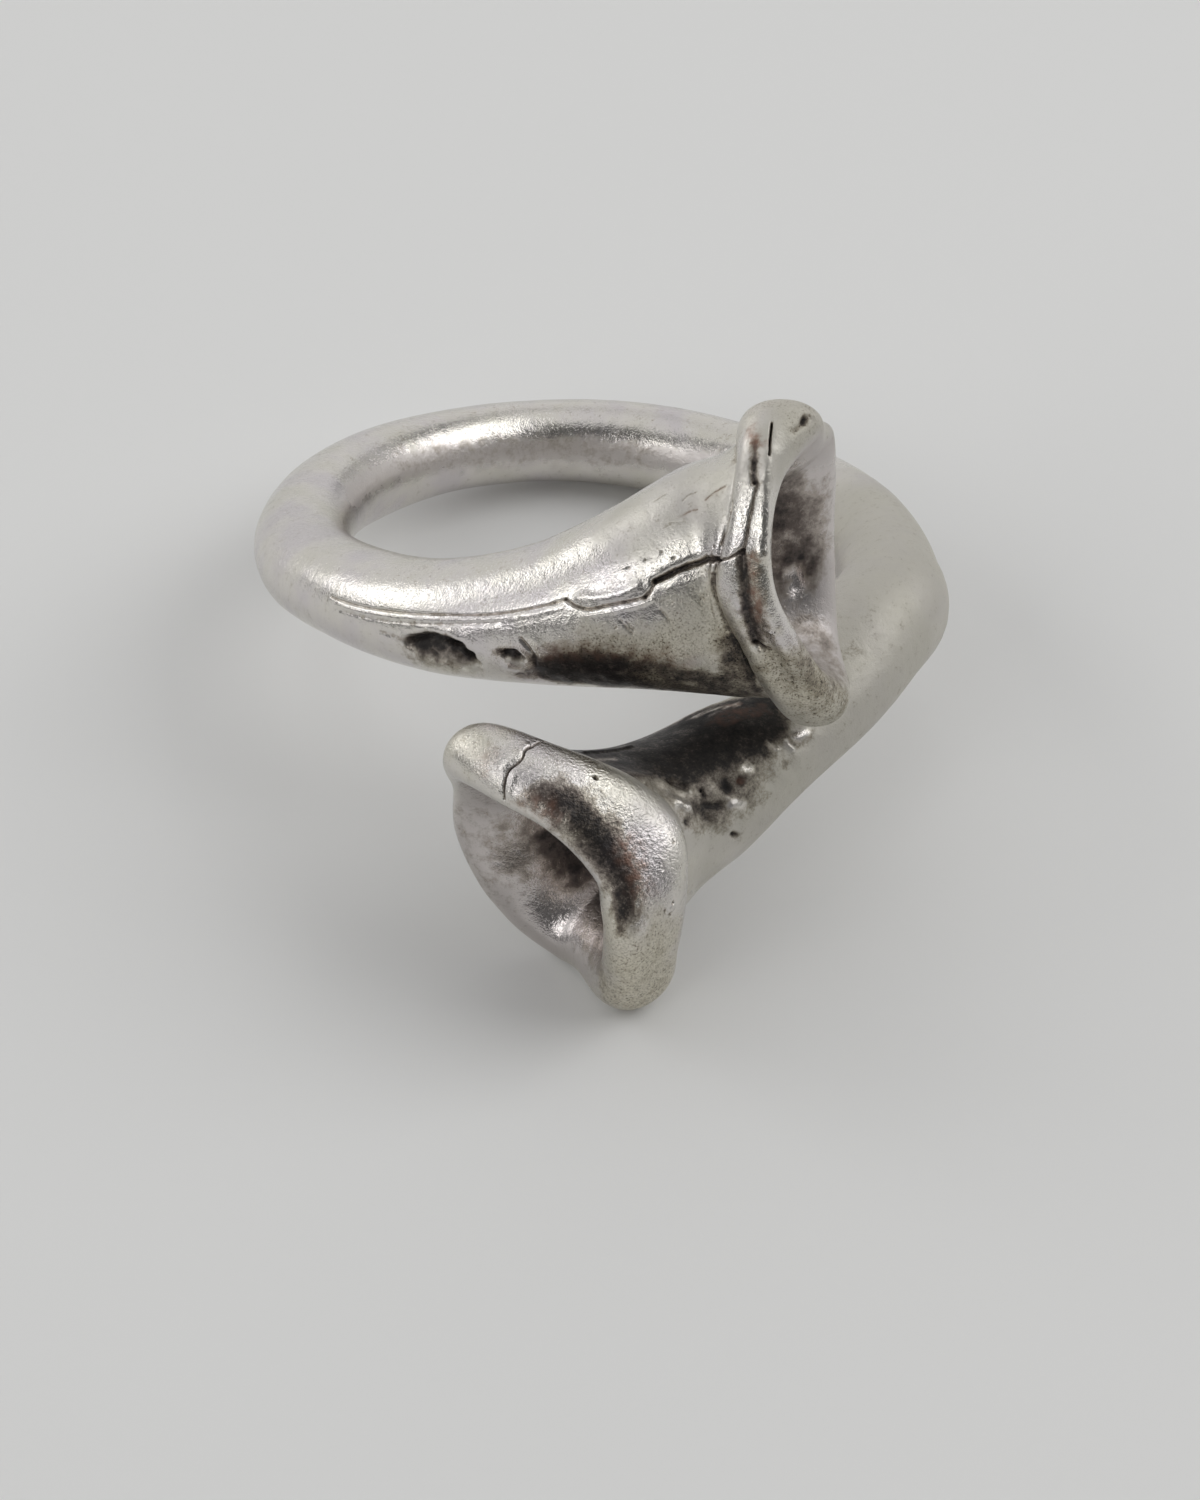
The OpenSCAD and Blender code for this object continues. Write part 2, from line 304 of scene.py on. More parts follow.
# Marks in the casting. Columns: height (dips are negative) and half width in millimetres, how
# dark it is, and the points on its line: the length along the skin and the angle round it. A
# row's place in the list sets its noise
MARKS = [
    # The seam along the left arm, the ridge below it and the tongue at its end
    (-0.06, 0.042, 0.35, [
        (122, 21.5), (129, 21.5), (136, 23.5), (145, 25), (153, 24), (160, 25.5), (166, 28),
    ]),
    (0.025, 0.1, 0, [(123, 15), (130, 15.5), (138, 18.5), (146, 20.5), (153, 20), (160, 21), (165, 23)]),
    (-0.03, 0.07, 0.2, [(125, 10.5), (132, 12), (140, 15), (148, 16.5), (155, 17)]),
    (0.06, 0.16, 0, [(168, 27), (171, 24.5), (174.5, 24), (177, 26)]),
    (-0.08, 0.05, 0.55, [
        (166, 28), (166.6, 25), (167.6, 21), (169.4, 18), (172.4, 18.2), (175.3, 18), (177.6, 18.5),
    ]),
    (-0.08, 0.06, 0.6, [(177.6, 18.5), (178.6, 21.5), (179.4, 25)]),
    (0.04, 0.07, 0, [(168, 14.5), (171, 14), (175, 14.5), (178.5, 16)]),
    # The wide gap where the seam opens, and its crossing of the upper lip
    (-0.26, 0.095, 0.8, [
        (179.4, 25.5), (181, 26.5), (183, 27.8), (185.5, 28), (190, 26.4), (193.6, 23), (200, 17),
    ]),
    (-0.2, 0.08, 0.9, [(200, 17), (202.6, 15.5), (206.6, 14.5)]),
    (0.018, 0.12, 0, [(180.5, 32), (183, 33.5), (187, 33), (192, 28)]),
    (0.022, 0.12, 0, [(180.8, 20), (184, 21), (189, 20), (193, 17)]),
    (-0.1, 0.05, 0.7, [(206.6, 14.4), (211.7, 14.4), (215.5, 14.7), (218.8, 16), (222, 17.5)]),
    # The large dent under the left arm: its upper rim, its floor and the lumps in it
    (-0.42, 0.16, 1, [
        (139, -6), (141.2, -1), (143.8, 1.2), (146, -2), (147.5, -7), (148.5, -15), (149, -23),
    ]),
    (-0.22, 0.35, 0.25, [(140.8, -11), (143, -11), (145.5, -15), (147.5, -23)]),
    (-0.1, 0.14, 0.9, [(141.6, -9), (143.4, -8)]),
    (0.2, 0.13, 0, [(145.4, -13), (146.2, -19)]),
    (0.16, 0.12, 0, [(140.4, -17), (140.4, -24)]),
    (0.12, 0.1, 0, [(143.2, -25), (144.6, -27)]),
    (0.03, 0.3, 0, [(141.5, 7), (145, 8), (149, 1)]),
    (-0.05, 0.1, 0.3, [(133.8, -1), (136, -2), (138.5, -5)]),
    (-0.12, 0.08, 0.8, [(142.2, -17), (143, -22)]),
    # The small hole beside it, the curved nick and the lumps round them
    (-0.3, 0.13, 1, [(154.7, -12), (156, -12), (156.6, -17)]),
    (0.06, 0.16, 0, [(154.4, -25), (155.4, -28)]),
    (-0.08, 0.06, 0.5, [(157.8, 2), (158.6, -6), (159.1, -14), (158.9, -23)]),
    (0.04, 0.14, 0, [(159.8, 0), (160.4, -9), (160.4, -17)]),
    (-0.08, 0.25, 0.6, [(155.5, -39), (158.5, -34)]),
    # Small pits and scratches on the left arm
    (-0.06, 0.035, 0.6, [(176.2, 37.5)]),
    (-0.06, 0.035, 0.6, [(178.8, 38.6)]),
    (-0.08, 0.04, 0.7, [(181.3, 39.6)]),
    (-0.06, 0.035, 0.6, [(182.7, 34.5)]),
    (-0.1, 0.045, 0.8, [(198.5, 24.4)]),
    (-0.06, 0.04, 0.6, [(181, 12.6)]),
    (-0.06, 0.04, 0.6, [(172.4, 3.6)]),
    (-0.03, 0.1, 0.12, [(184.5, 14), (185, 11)]),
    (-0.04, 0.04, 0.3, [(173.3, 8), (174.5, -2)]),
    (-0.04, 0.04, 0.3, [(174.1, 7), (174.9, 0)]),
    (-0.04, 0.05, 0.3, [(179.3, 10), (180.2, 2.5)]),
    (-0.015, 0.035, 0.35, [(193, 55), (196, 55), (199, 54), (202, 53.5)]),
    # The fold between the left arm and the upper lip's back edge
    (-0.06, 0.045, 0.6, [(212.5, 40), (211.2, 34), (208, 30), (205.5, 26), (204.5, 22)]),
    (-0.07, 0.045, 0.7, [
        (205.5, 12), (207, 4), (208, -4), (208, -12), (206.5, -22), (205, -34), (203.5, -48),
    ]),
    # The upper lip's valley between its two ridges
    (-0.07, 0.08, 0.5, [(225.4, 66), (226.2, 58), (226.4, 52)]),
    (-0.09, 0.09, 0.5, [(226.4, 55), (227, 50), (228, 46)]),
    (-0.08, 0.055, 0.6, [(228, 46), (229.5, 45), (227, 37), (225, 30), (223.4, 22), (222, 16)]),
    (-0.1, 0.14, 0.55, [
        (222, 16), (222.6, 9.5), (222.7, 3), (221.8, -3.5), (220.5, -10), (219.4, -18), (218.8, -25),
    ]),
    (0.03, 0.2, 0, [(219, 70), (218, 61), (218.5, 53)]),
    (0.15, 0.22, 0, [(233.5, 60), (235, 50), (236, 42), (236, 32), (235.6, 22), (235, 15)]),
    (0.06, 0.05, 0, [(225.5, -17), (230, -18.3)]),
    (0.08, 0.05, 0, [(218.8, -28), (222, -28.5)]),
    (-0.14, 0.05, 1, [(217.8, -24), (220.5, -26.4), (222.5, -27)]),
    # The slit at the top of the upper flower, its pit and the lump beside it
    (-0.24, 0.036, 1, [(230.8, 74), (232.1, 68), (233.4, 62.5), (233.8, 59)]),
    (-0.18, 0.12, 0.9, [(241.6, 82.5), (242.2, 80)]),
    (0.08, 0.1, 0, [(243.2, 86)]),
    (-0.05, 0.12, 0.4, [(241.8, 77), (241, 74)]),
    (-0.06, 0.05, 0.6, [(225.8, -43.7)]),
    (-0.06, 0.05, 0.6, [(222.5, -40)]),
    (-0.06, 0.05, 0.6, [(227, -41)]),
    (-0.08, 0.06, 0.7, [(227.8, -65.6)]),
    (-0.06, 0.05, 0.6, [(229, -62)]),
    # The crack across the lower lip, and its raised edge
    (-0.13, 0.032, 0.95, [
        (-205, 62), (-209.6, 61.5), (-213, 60.7), (-215.5, 60.4), (-217.7, 58.6), (-219.6, 58),
        (-221.2, 58.2), (-222.8, 58.4), (-224.5, 57.8), (-227, 56.5), (-229.4, 55), (-232, 54),
    ]),
    (0.05, 0.09, 0, [(-213, 62.7), (-217.5, 61.2), (-221, 60.8), (-223.5, 60.8)]),
    (0.04, 0.09, 0, [(-223, 55.5), (-226, 54), (-228.5, 53)]),
    # Pits and blisters on the lower lip
    (-0.2, 0.07, 1, [(-212, 33.2)]),
    (0.1, 0.24, 0, [(-224.2, 29.3)]),
    (-0.18, 0.09, 1, [(-224.2, 29.2)]),
    (0.07, 0.1, 0, [(-224.7, 49.1)]),
    (-0.08, 0.05, 0.3, [(-224.7, 49.1)]),
    (0.06, 0.09, 0, [(-226.8, 46)]),
    (0.05, 0.1, 0, [(-222.9, 10.3)]),
    (0.05, 0.08, 0, [(-224.5, 6)]),
    (0.07, 0.14, 0, [(-212.6, -31)]),
    (-0.12, 0.06, 0.8, [(-212.2, -29.6)]),
    (-0.12, 0.06, 0.8, [(-213, -33)]),
    (-0.08, 0.05, 0.6, [(-214.4, -29)]),
    (-0.05, 0.05, 0.4, [(-209.5, -9.5)]),
    # Pits, craters and lumps on the right arm
    (-0.15, 0.1, 0.8, [(-177.4, -18.5), (-176.8, -21)]),
    (-0.16, 0.07, 1, [(-178.3, 24.4)]),
    (-0.1, 0.06, 0.8, [(-178.6, 20)]),
    (-0.2, 0.16, 1, [(-181.5, 34), (-180.2, 29)]),
    (-0.12, 0.1, 0.7, [(-183.6, 36), (-181.6, 34.5)]),
    (-0.22, 0.17, 1, [(-172.3, 20.8)]),
    (0.14, 0.06, 0, [(-172.3, 20.8)]),
    (0.09, 0.13, 0, [(-171.6, 24.5), (-170.6, 21.5)]),
    (-0.2, 0.18, 1, [(-174.4, 27), (-174.6, 20)]),
    (-0.15, 0.13, 0.9, [(-180.3, 7.5), (-178.6, 8.5), (-177, 9.5)]),
    (0.1, 0.2, 0, [(-175.4, 8), (-174, 5)]),
    (-0.12, 0.15, 0.8, [(-188, -22)]),
    (0.1, 0.2, 0, [(-187.5, -7), (-186, -8)]),
    (0.1, 0.14, 0, [(-170.9, 28.5), (-170.3, 26)]),
    (0.08, 0.1, 0, [(-165.6, 37), (-164.6, 30)]),
    (0.08, 0.1, 0, [(-162.8, 31), (-162.3, 23)]),
    (0.1, 0.18, 0, [(-160.2, 32), (-158.4, 31)]),
    (0.05, 0.16, 0, [(-177, 33), (-176.4, 28)]),
    (0.1, 0.25, 0, [(-180, -8), (-178, -10)]),
    (-0.08, 0.2, 0.4, [(-183, -2), (-181.5, -6)]),
    # The hollow deep in the upper flower that catches the light
    (-0.25, 0.3, 0, [(267.6, 205), (267, 215)]),
    # The rims of the right arm's top that catch the light
    (0.08, 0.1, 0, [(-186, 78), (-182, 84), (-179, 88)]),
    # Fine scratches on the left arm's top
    (-0.012, 0.035, 0.3, [(185.7, 64), (187.5, 65.5), (189.7, 64.5)]),
    (-0.012, 0.03, 0.3, [(185.1, 55), (187.5, 55), (189.6, 53.5)]),
    (-0.012, 0.03, 0.3, [(183.5, 53.5), (185.3, 50.7)]),
    (-0.012, 0.03, 0.25, [(182, 74), (183.8, 75)]),
    (-0.02, 0.03, 0.4, [(199.4, 54.5)]),
]

# Tarnished patches and painted shade, on the outside and in the throats. Columns, here and in the next
# tables: how strong, the half width in millimetres, and the points on the line that the patch follows
TARNISH_AND_SHADE = [
    (1, 0.4, [(160, -26), (163.5, -20), (167, -23), (170.5, -24)]),
    (0.75, 0.35, [(170.5, -24), (175, -27), (180, -35), (186, -46)]),
    (1, 0.5, [(161, -38), (166, -38), (170, -42)]),
    (0.75, 0.7, [(170, -44), (175, -52), (181, -60), (188, -68)]),
    (0.2, 0.5, [(165, -10), (171, -13), (177, -17)]),
    # Painted shadow along the fold where the left arm meets the upper lip's back edge
    (0.6, 0.09, [(204.5, 8), (205.5, 0), (206, -8), (205, -18), (203.5, -30), (202, -44), (201, -58)]),
    (0.5, 0.35, [(202, -28), (200.5, -42), (199.5, -56)]),
    (0.35, 0.4, [(196, -22), (195, -30), (194, -42)]),
    (0.4, 0.22, [(191, -27), (189, -37)]),
    (0.12, 1.2, [(-220, -30), (-222, -50), (-224, -75)]),
    (0.12, 1, [(222, -30), (226, -50), (228, -70)]),
    (0.16, 0.5, [(40, 152), (17, 165), (-3, 172), (-23, 167)]),
    # Painted shade in the folds behind the two lips, on the sides the photo doesn't show
    (0.4, 0.25, [(206, 75), (206, 110), (206, 150), (206, 190), (205, 230), (204, 270), (202, 300)]),
    (0.4, 0.25, [(-199, 90), (-199, 130), (-199, 170), (-199, 210), (-199, 250), (-198, 290)]),
    (0.45, 0.16, [(225.6, 64), (226.8, 55), (228, 48)]),
    (0.6, 0.2, [(222.5, 12), (222.7, 3), (221.5, -5), (220, -14), (219.4, -22)]),
    (0.4, 0.3, [(227.5, 12), (227, 2), (225.5, -8), (223.5, -18)]),
    # The lower lip's dark band: tarnish, and a painted dark reflection where the roll faces the unlit
    # front
    (0.7, 0.55, [(-221.3, 38), (-221, 31), (-221, 24), (-221.8, 13), (-223, 4), (-224, -4)]),
    (0.75, 0.3, [(-221, 34), (-221, 25), (-222, 13.5), (-223.4, 4), (-224.8, -6), (-226.2, -14)]),
    (0.6, 0.18, [(-225.5, -10), (-226.6, -15), (-228, -21)]),
    (0.4, 0.45, [(-225.5, 42), (-226, 34), (-226, 24), (-226.5, 14)]),
    # The right arm's upper side in the narrow gap under the left arm: tarnish and painted shadow
    (1, 0.9, [(-190, 62), (-184, 64), (-177, 62), (-170, 60), (-163, 60)]),
    (1, 0.8, [(-188, 92), (-178, 95), (-168, 90), (-160, 80)]),
    (0.8, 0.35, [(-188, 50), (-182, 51), (-175, 49), (-167, 43)]),
    (0.45, 0.8, [(-190, 22), (-184, 22), (-177, 22), (-170, 25)]),
    (0.18, 0.7, [(-187, -12), (-181, -4), (-176, 2)]),
    (0.18, 0.5, [(-165, 33), (-160, 33)]),
    (0.4, 0.5, [(140, -17), (146, -25)]),
    (0.9, 0.24, [(140.5, -8), (143.5, -5.5), (146, -10), (147.6, -16)]),
    # A soft painted shadow on the hoop's right side
    (0.25, 0.3, [(-143.5, 63), (-142, 59)]),
    (0.9, 0.15, [(154.5, -12), (156.1, -12.5)]),
]
# Painted shade and tarnish in the flowers' throats
THROAT_SHADE_AND_TARNISH = [
    (0.45, 0.7, [(268, 110), (268.5, 140), (268, 170), (267, 200)]),
    (0.55, 0.35, [(269.8, 138), (271, 155)]),
    (0.7, 0.4, [(267, 193), (268, 203)]),
    (0.25, 0.6, [(262, 150), (263, 180)]),
    (0.35, 0.4, [(264, 240), (260, 252)]),
    (0.35, 0.9, [(258, 275), (252, 300), (247, 322)]),
    (0.85, 0.6, [(-259, 165), (-259.8, 185), (-259.7, 205)]),
    (0.4, 0.4, [(-259.5, 220)]),
    (0.3, 0.7, [(-254.5, 143), (-254, 165)]),
    (0.15, 0.8, [(-248, 130), (-247, 190)]),
    (0.3, 0.8, [(-251, 264), (-246, 285), (-243, 300)]),
]
# Places worn bright again, on high spots of the tarnish, and painted light: a lit streak along the right
# arm's top rim and highlights deep in the throats, cleared through the painted shade
WORN_AND_LIT = [
    # A painted light streak along the right arm's top rim, cleared through the painted shadow there
    (0.75, 0.08, [(-163.5, 92), (-166.5, 97), (-170, 100)]),
    (0.5, 0.05, [(-165.5, 87), (-168.5, 91)]),
    (0.6, 0.1, [(-184, 67), (-188, 61)]),
    (0.7, 0.18, [(-175.4, 8), (-174, 5)]),
    (0.7, 0.18, [(-187.5, -7), (-186, -8)]),
    (0.7, 0.14, [(-170.9, 28.5), (-170.3, 26)]),
    (0.7, 0.1, [(-165.6, 37), (-164.6, 30)]),
    (0.7, 0.1, [(-162.8, 31), (-162.3, 23)]),
    (0.8, 0.18, [(-160.2, 32), (-158.4, 31)]),
    (0.35, 0.3, [(-186, 20), (-182, 20)]),
    (0.3, 0.18, [(-177, 33), (-176.4, 28)]),
    (0.3, 0.14, [(145.4, -13), (146.2, -19)]),
    (0.4, 0.1, [(-224.2, 29.3)]),
    # Painted highlights deep in the throats, cleared through the painted shade
    (0.8, 0.3, [(267.8, 205), (266.8, 220)]),
    (0.7, 0.2, [(-258, 236), (-255, 238)]),
]
# Dull places, places with a sandy and speckled face or a cloudy one, and creased places
DULL = [
    (1, 3, [(-165, 40), (-150, 50), (-138, 60), (-122, 70), (-108, 75), (-95, 80)]),
    (0.7, 1.8, [(-190, -10), (-178, -5), (-168, 2)]),
    (1, 2, [(-165, 5), (-150, 20), (-138, 25)]),
    (0.8, 1.2, [(238, 65), (242, 80), (244, 95), (244, 115)]),
    (0.5, 0.4, [(66, 150), (40, 158), (17, 170), (-3, 176), (-23, 172), (-42, 162)]),
    (0.55, 1.1, [(176, 68), (183, 66), (190, 62)]),
    (0.5, 0.8, [(190, 62), (195, 57)]),
    (1, 0.35, [(140.5, -12), (144, -14), (146.5, -20), (148, -25)]),
    (0.8, 0.14, [(155.2, -17), (156.4, -20)]),
]
SANDY = [
    (1, 1.4, [(-222, -40), (-218, -60), (-216, -85)]),
    (1, 0.9, [(224, -36), (228, -55), (230, -75)]),
    (0.9, 0.8, [(168, -12), (176, -12), (186, -12), (197, -16)]),
    (0.9, 0.8, [(176, -38), (188, -42), (198, -44)]),
    (0.7, 0.6, [(182, 6), (190, 6), (198, 4)]),
    (0.6, 0.9, [(226, 92), (234, 88), (243, 84)]),
    (0.5, 0.7, [(-220, 90), (-221, 76)]),
]
CLOUDY = [
    (0.8, 0.5, [(66, 150), (40, 157), (17, 171), (-3, 177), (-23, 172), (-42, 162)]),
    (0.6, 0.3, [(141, -13), (144, -15), (147, -22)]),
]
CREASED = [
    (1, 1.4, [(-214, 62), (-216, 45), (-217, 30), (-217, 15), (-216, 0), (-217, -15)]),
    (0.3, 0.8, [(226, 66), (226, 50), (226, 35), (226, 20), (224, 5)]),
]
# Places with a reddish tint
COPPER = [
    (0.7, 0.16, [(228, 14), (228, 6), (227, -3), (225.5, -11)]),
    (0.8, 0.2, [(223, 72), (224.5, 66), (227, 62)]),
    (0.5, 0.3, [(-228.5, 44), (-226.5, 36)]),
    (0.6, 0.4, [(-218.5, 4), (-219.3, -5), (-219.5, -11)]),
    (0.35, 0.06, [(193, 55), (199, 54), (202, 53.5)]),
    (0.3, 0.05, [(185, 55), (187.5, 55), (189.6, 53.5)]),
    (0.4, 0.25, [(-222, 68), (-227, 66)]),
    (0.6, 0.3, [(-168, 80), (-163, 74)]),
    # The reddish tint of the painted light streak on the right arm's top rim
    (0.9, 0.12, [(-163.5, 91), (-165.5, 95)]),
    (0.6, 0.12, [(-172.3, 20.8)]),
    (0.3, 0.3, [(161, -13), (167, -12), (174, -16), (181, -24)]),
]
# Lumpy places. Columns: height and waves per millimetre, the half width, and the line's points
LUMPY = [
    (0.13, 1.7, 1, [(-190, 5), (-184, 12), (-177, 14), (-170, 24), (-162, 30)]),
    (0.06, 2.5, 0.35, [(140.8, -13), (144, -15), (147.5, -21)]),
    (0.06, 2.2, 0.9, [(160, -30), (168, -28), (176, -34), (186, -44)]),
    (0.05, 2.5, 0.8, [(192, -20), (192, -35), (190, -50)]),
]

# The layers of values that the patches make. A cloudy place looks like the inside of a throat
PATCHES = {
    "tarnish_and_shade": TARNISH_AND_SHADE + THROAT_SHADE_AND_TARNISH, "copper": COPPER, "dull": DULL, "sandy": SANDY,
    "creased": CREASED, "worn_and_lit": WORN_AND_LIT, "inside": CLOUDY,
}

# Steps from one point of a mark's line to the next
LINE_STEPS = 8

# How far a mark or patch reaches, in half widths, and a mark's reach beyond that in millimetres
REACH = 2.4
EXTRA_REACH = 0.1

# Where a patch begins to fade, where it is gone, and the reach of lumps, in half widths
PATCH_FULL = 0.4
PATCH_GONE = 1.9
LUMP_REACH = 2

# The dark of a mark: how far it spreads, in half widths, and how strong it is
DARK_SPREAD = 1.1
DARK_GAIN = 1.1

# Longest edges: in half widths at a mark, in waves at lumps, and in millimetres elsewhere
MARK_EDGE = 0.75
LUMP_EDGE = 0.22
PLAIN_EDGE = 9.0
REFINE_PASSES = 3

# How ragged marks and patches are, and their noise's waves a millimetre. A wide patch has
# fewer waves than one of 1 mm, by this power of its half width
MARK_ROUGHNESS = 0.5
MARK_WAVES = 3
PATCH_ROUGHNESS = 0.9
PATCH_WAVES = 1.2
PATCH_WAVE_POWER = 0.7

# The noise: its height, where it starts, and its seeds, which the lists' rows count from
NOISE_HEIGHT = 0.7
NOISE_START = (7.3, 1.9)
UNEVEN_SEED = 3.1
UNEVEN_SEED_STEP = 10
MARK_SEED = 20
LUMP_SEED = 60
PATCH_SEED = 90

# Steps along and round the skin that give its outward directions, and what keeps the length
# of a line or of such a direction above nothing
NORMAL_STEP = 0.2
NORMAL_TURN = 1
TINY_LENGTH = 1e-9
TINY_AREA = 1e-12

# Unevenness of the hand-made form: its height in millimetres and its waves per millimetre
UNEVEN = ((0.035, 0.35), (0.012, 1.3))

# Where the flowers' throats begin, and where painted shade darkens them: lengths past each arm's end
THROAT_BEGINS = (62, 74)
THROAT_SHADE_DEEPENS = (76, 100)


def lengths_along(wire_steps, wall_steps, lip_steps, throat_steps):
    """Where the rings of points lie along the skin, from the lower throat to the upper one."""
    past = np.concatenate([
        WALL * np.arange(1, wall_steps + 1) / wall_steps,
        WALL + LIP * np.arange(1, lip_steps + 1) / lip_steps,
        WALL + LIP + THROAT * np.arange(1, throat_steps + 1) / throat_steps,
    ])
    wire = np.linspace(LOWER["start"], UPPER["start"], wire_steps + 1)
    return np.concatenate([(LOWER["start"] - past)[::-1], wire, UPPER["start"] + past])


def frame_offset():
    """The shift from the hoop's middle to the origin, under the middle of the solid's box."""
    along = lengths_along(SOLID_WIRE_STEPS, SOLID_WALL_STEPS, SOLID_LIP_STEPS, SOLID_THROAT_STEPS)
    grid = np.meshgrid(along, np.arange(SOLID_SIDES) * 360 / SOLID_SIDES, indexing="ij")
    points = rested(skin(grid[0].ravel(), grid[1].ravel()))
    low, high = points.min(0), points.max(0)
    return -np.array([(low[0] + high[0]) / 2, (low[1] + high[1]) / 2, low[2]])


OFFSET = frame_offset()


def placed(points):
    """Points of the ring's own frame, in the model's frame, in metres."""
    return (rested(points) + OFFSET) * MM


def tube_mesh():
    """The skin laid out straight: length along X, the turn round it in Y and Z."""
    along = lengths_along(WIRE_STEPS, WALL_STEPS, LIP_STEPS, THROAT_STEPS)
    angle = np.arange(SIDES) * 360 / SIDES
    grid = np.meshgrid(along, angle, indexing="ij")
    points = np.stack([grid[0], cos(grid[1]), sin(grid[1])], -1).reshape(-1, 3)
    faces = []
    for k in range(len(along) - 1):
        for i in range(SIDES):
            a, b = k * SIDES + i, k * SIDES + (i + 1) % SIDES
            faces.append((a, b, b + SIDES, a + SIDES))
    last = (len(along) - 1) * SIDES
    faces.append(tuple(range(SIDES - 1, -1, -1)))
    faces.append(tuple(range(last, last + SIDES)))
    mesh = bpy.data.meshes.new("ring_skin")
    mesh.from_pydata(points.tolist(), [], faces)
    return mesh


def places(tube_points):
    """The length along the skin, and the angle round it, of points of the straight tube."""
    turned = np.degrees(np.arctan2(tube_points[:, 2], tube_points[:, 1]))
    return tube_points[:, 0], turned


def smoothstep(value, low, high):
    """0 up to low, 1 from high on, and a smooth step between."""
    share = np.clip((value - low) / (high - low), 0, 1)
    return share * share * (3 - 2 * share)


def line_points(path):
    """Points on a mark's line, on a smooth curve through its own points."""
    path = np.array(path, float)
    if len(path) == 1:
        return skin(path[:, 0], path[:, 1])
    rows = np.column_stack([np.arange(len(path)), path])
    steps = np.linspace(0, len(path) - 1, LINE_STEPS * (len(path) - 1) + 1)
    fine = rows_at(rows, steps)
    return skin(fine[:, 1], fine[:, 2])


def distances(points, line, reach):
    """How far the points are from a line, and which of them are within its reach."""
    near = np.flatnonzero(((points > line.min(0) - reach) & (points < line.max(0) + reach)).all(-1))
    close = points[near]
    best = np.linalg.norm(close - line[0], axis=-1)
    for a, b in zip(line[:-1], line[1:]):
        share = np.clip((close - a) @ (b - a) / max((b - a) @ (b - a), TINY_LENGTH), 0, 1)
        best = np.minimum(best, np.linalg.norm(close - a - share[:, None] * (b - a), axis=-1))
    inside = best < reach
    return near[inside], best[inside]


def mark_reach(half_width):
    return REACH * half_width + EXTRA_REACH


def refine(bm):
    """Splits the edges that are too long for the marks and lumps they lie on."""
    lines = []
    for _, half_width, _, path in MARKS:
        lines.append((half_width * MARK_EDGE, mark_reach(half_width), line_points(path)))
    for _, rate, half_width, path in LUMPY:
        lines.append((LUMP_EDGE / rate, PATCH_GONE * half_width, line_points(path)))
    for _ in range(REFINE_PASSES):
        points = skin(*places(np.array([v.co for v in bm.verts])))
        bm.verts.index_update()
        bm.edges.ensure_lookup_table()
        ends = np.array([[v.index for v in edge.verts] for edge in bm.edges])
        first, second = points[ends[:, 0]], points[ends[:, 1]]
        length = np.linalg.norm(first - second, axis=-1)
        wanted = np.full(len(length), PLAIN_EDGE)
        for edge, reach, line in lines:
            near, _ = distances((first + second) / 2, line, reach)
            wanted[near] = np.minimum(wanted[near], edge)
        chosen = [bm.edges[i] for i in np.flatnonzero(length > wanted)]
        bmesh.ops.subdivide_edges(bm, edges=chosen, cuts=1, use_grid_fill=True)


def outward_normals(along, angle):
    """The skin's outward directions, from its slopes."""
    onward = skin(along + NORMAL_STEP, angle) - skin(along - NORMAL_STEP, angle)
    round_it = skin(along, angle + NORMAL_TURN) - skin(along, angle - NORMAL_TURN)
    return unit(np.cross(onward, round_it) + TINY_AREA)


def wavy(points, rate, seed):
    """Smooth noise at points in millimetres, about -0.5 to 0.5, of so many waves a millimetre."""
    shift = Vector((seed, *NOISE_START))
    return np.array([noise.noise(Vector(p) * rate + shift) for p in points]) * NOISE_HEIGHT


def soft_union(amount, near, more):
    """Adds more to the amounts of the near points, which stay below 1."""
    amount[near] = 1 - (1 - amount[near]) * (1 - np.clip(more, 0, 1))


def patch_share(gap, half_width):
    """How much of a patch is left at a distance from its line."""
    return 1 - smoothstep(gap, half_width * PATCH_FULL, half_width * PATCH_GONE)


def mark_heights(points, tarnish_and_shade):
    """How far the marks and lumps raise each point. It darkens the tarnish at the marks."""
    height = np.zeros(len(points))
    for k, (rise, rate) in enumerate(UNEVEN):
        height += rise * wavy(points, rate, UNEVEN_SEED + UNEVEN_SEED_STEP * k)
    for k, (rise, half_width, dark, path) in enumerate(MARKS):
        near, gap = distances(points, line_points(path), mark_reach(half_width))
        rough = 1 + MARK_ROUGHNESS * wavy(points[near], MARK_WAVES, MARK_SEED + k)
        profile = np.exp(-((gap / (half_width * rough)) ** 2))
        height[near] += rise * profile * rough
        shade = np.exp(-((gap / (half_width * DARK_SPREAD)) ** 2))
        soft_union(tarnish_and_shade, near, dark * shade * DARK_GAIN)
    for k, (rise, rate, half_width, path) in enumerate(LUMPY):
        near, gap = distances(points, line_points(path), LUMP_REACH * half_width)
        height[near] += rise * patch_share(gap, half_width) * wavy(points[near], rate, LUMP_SEED + k)
    return height


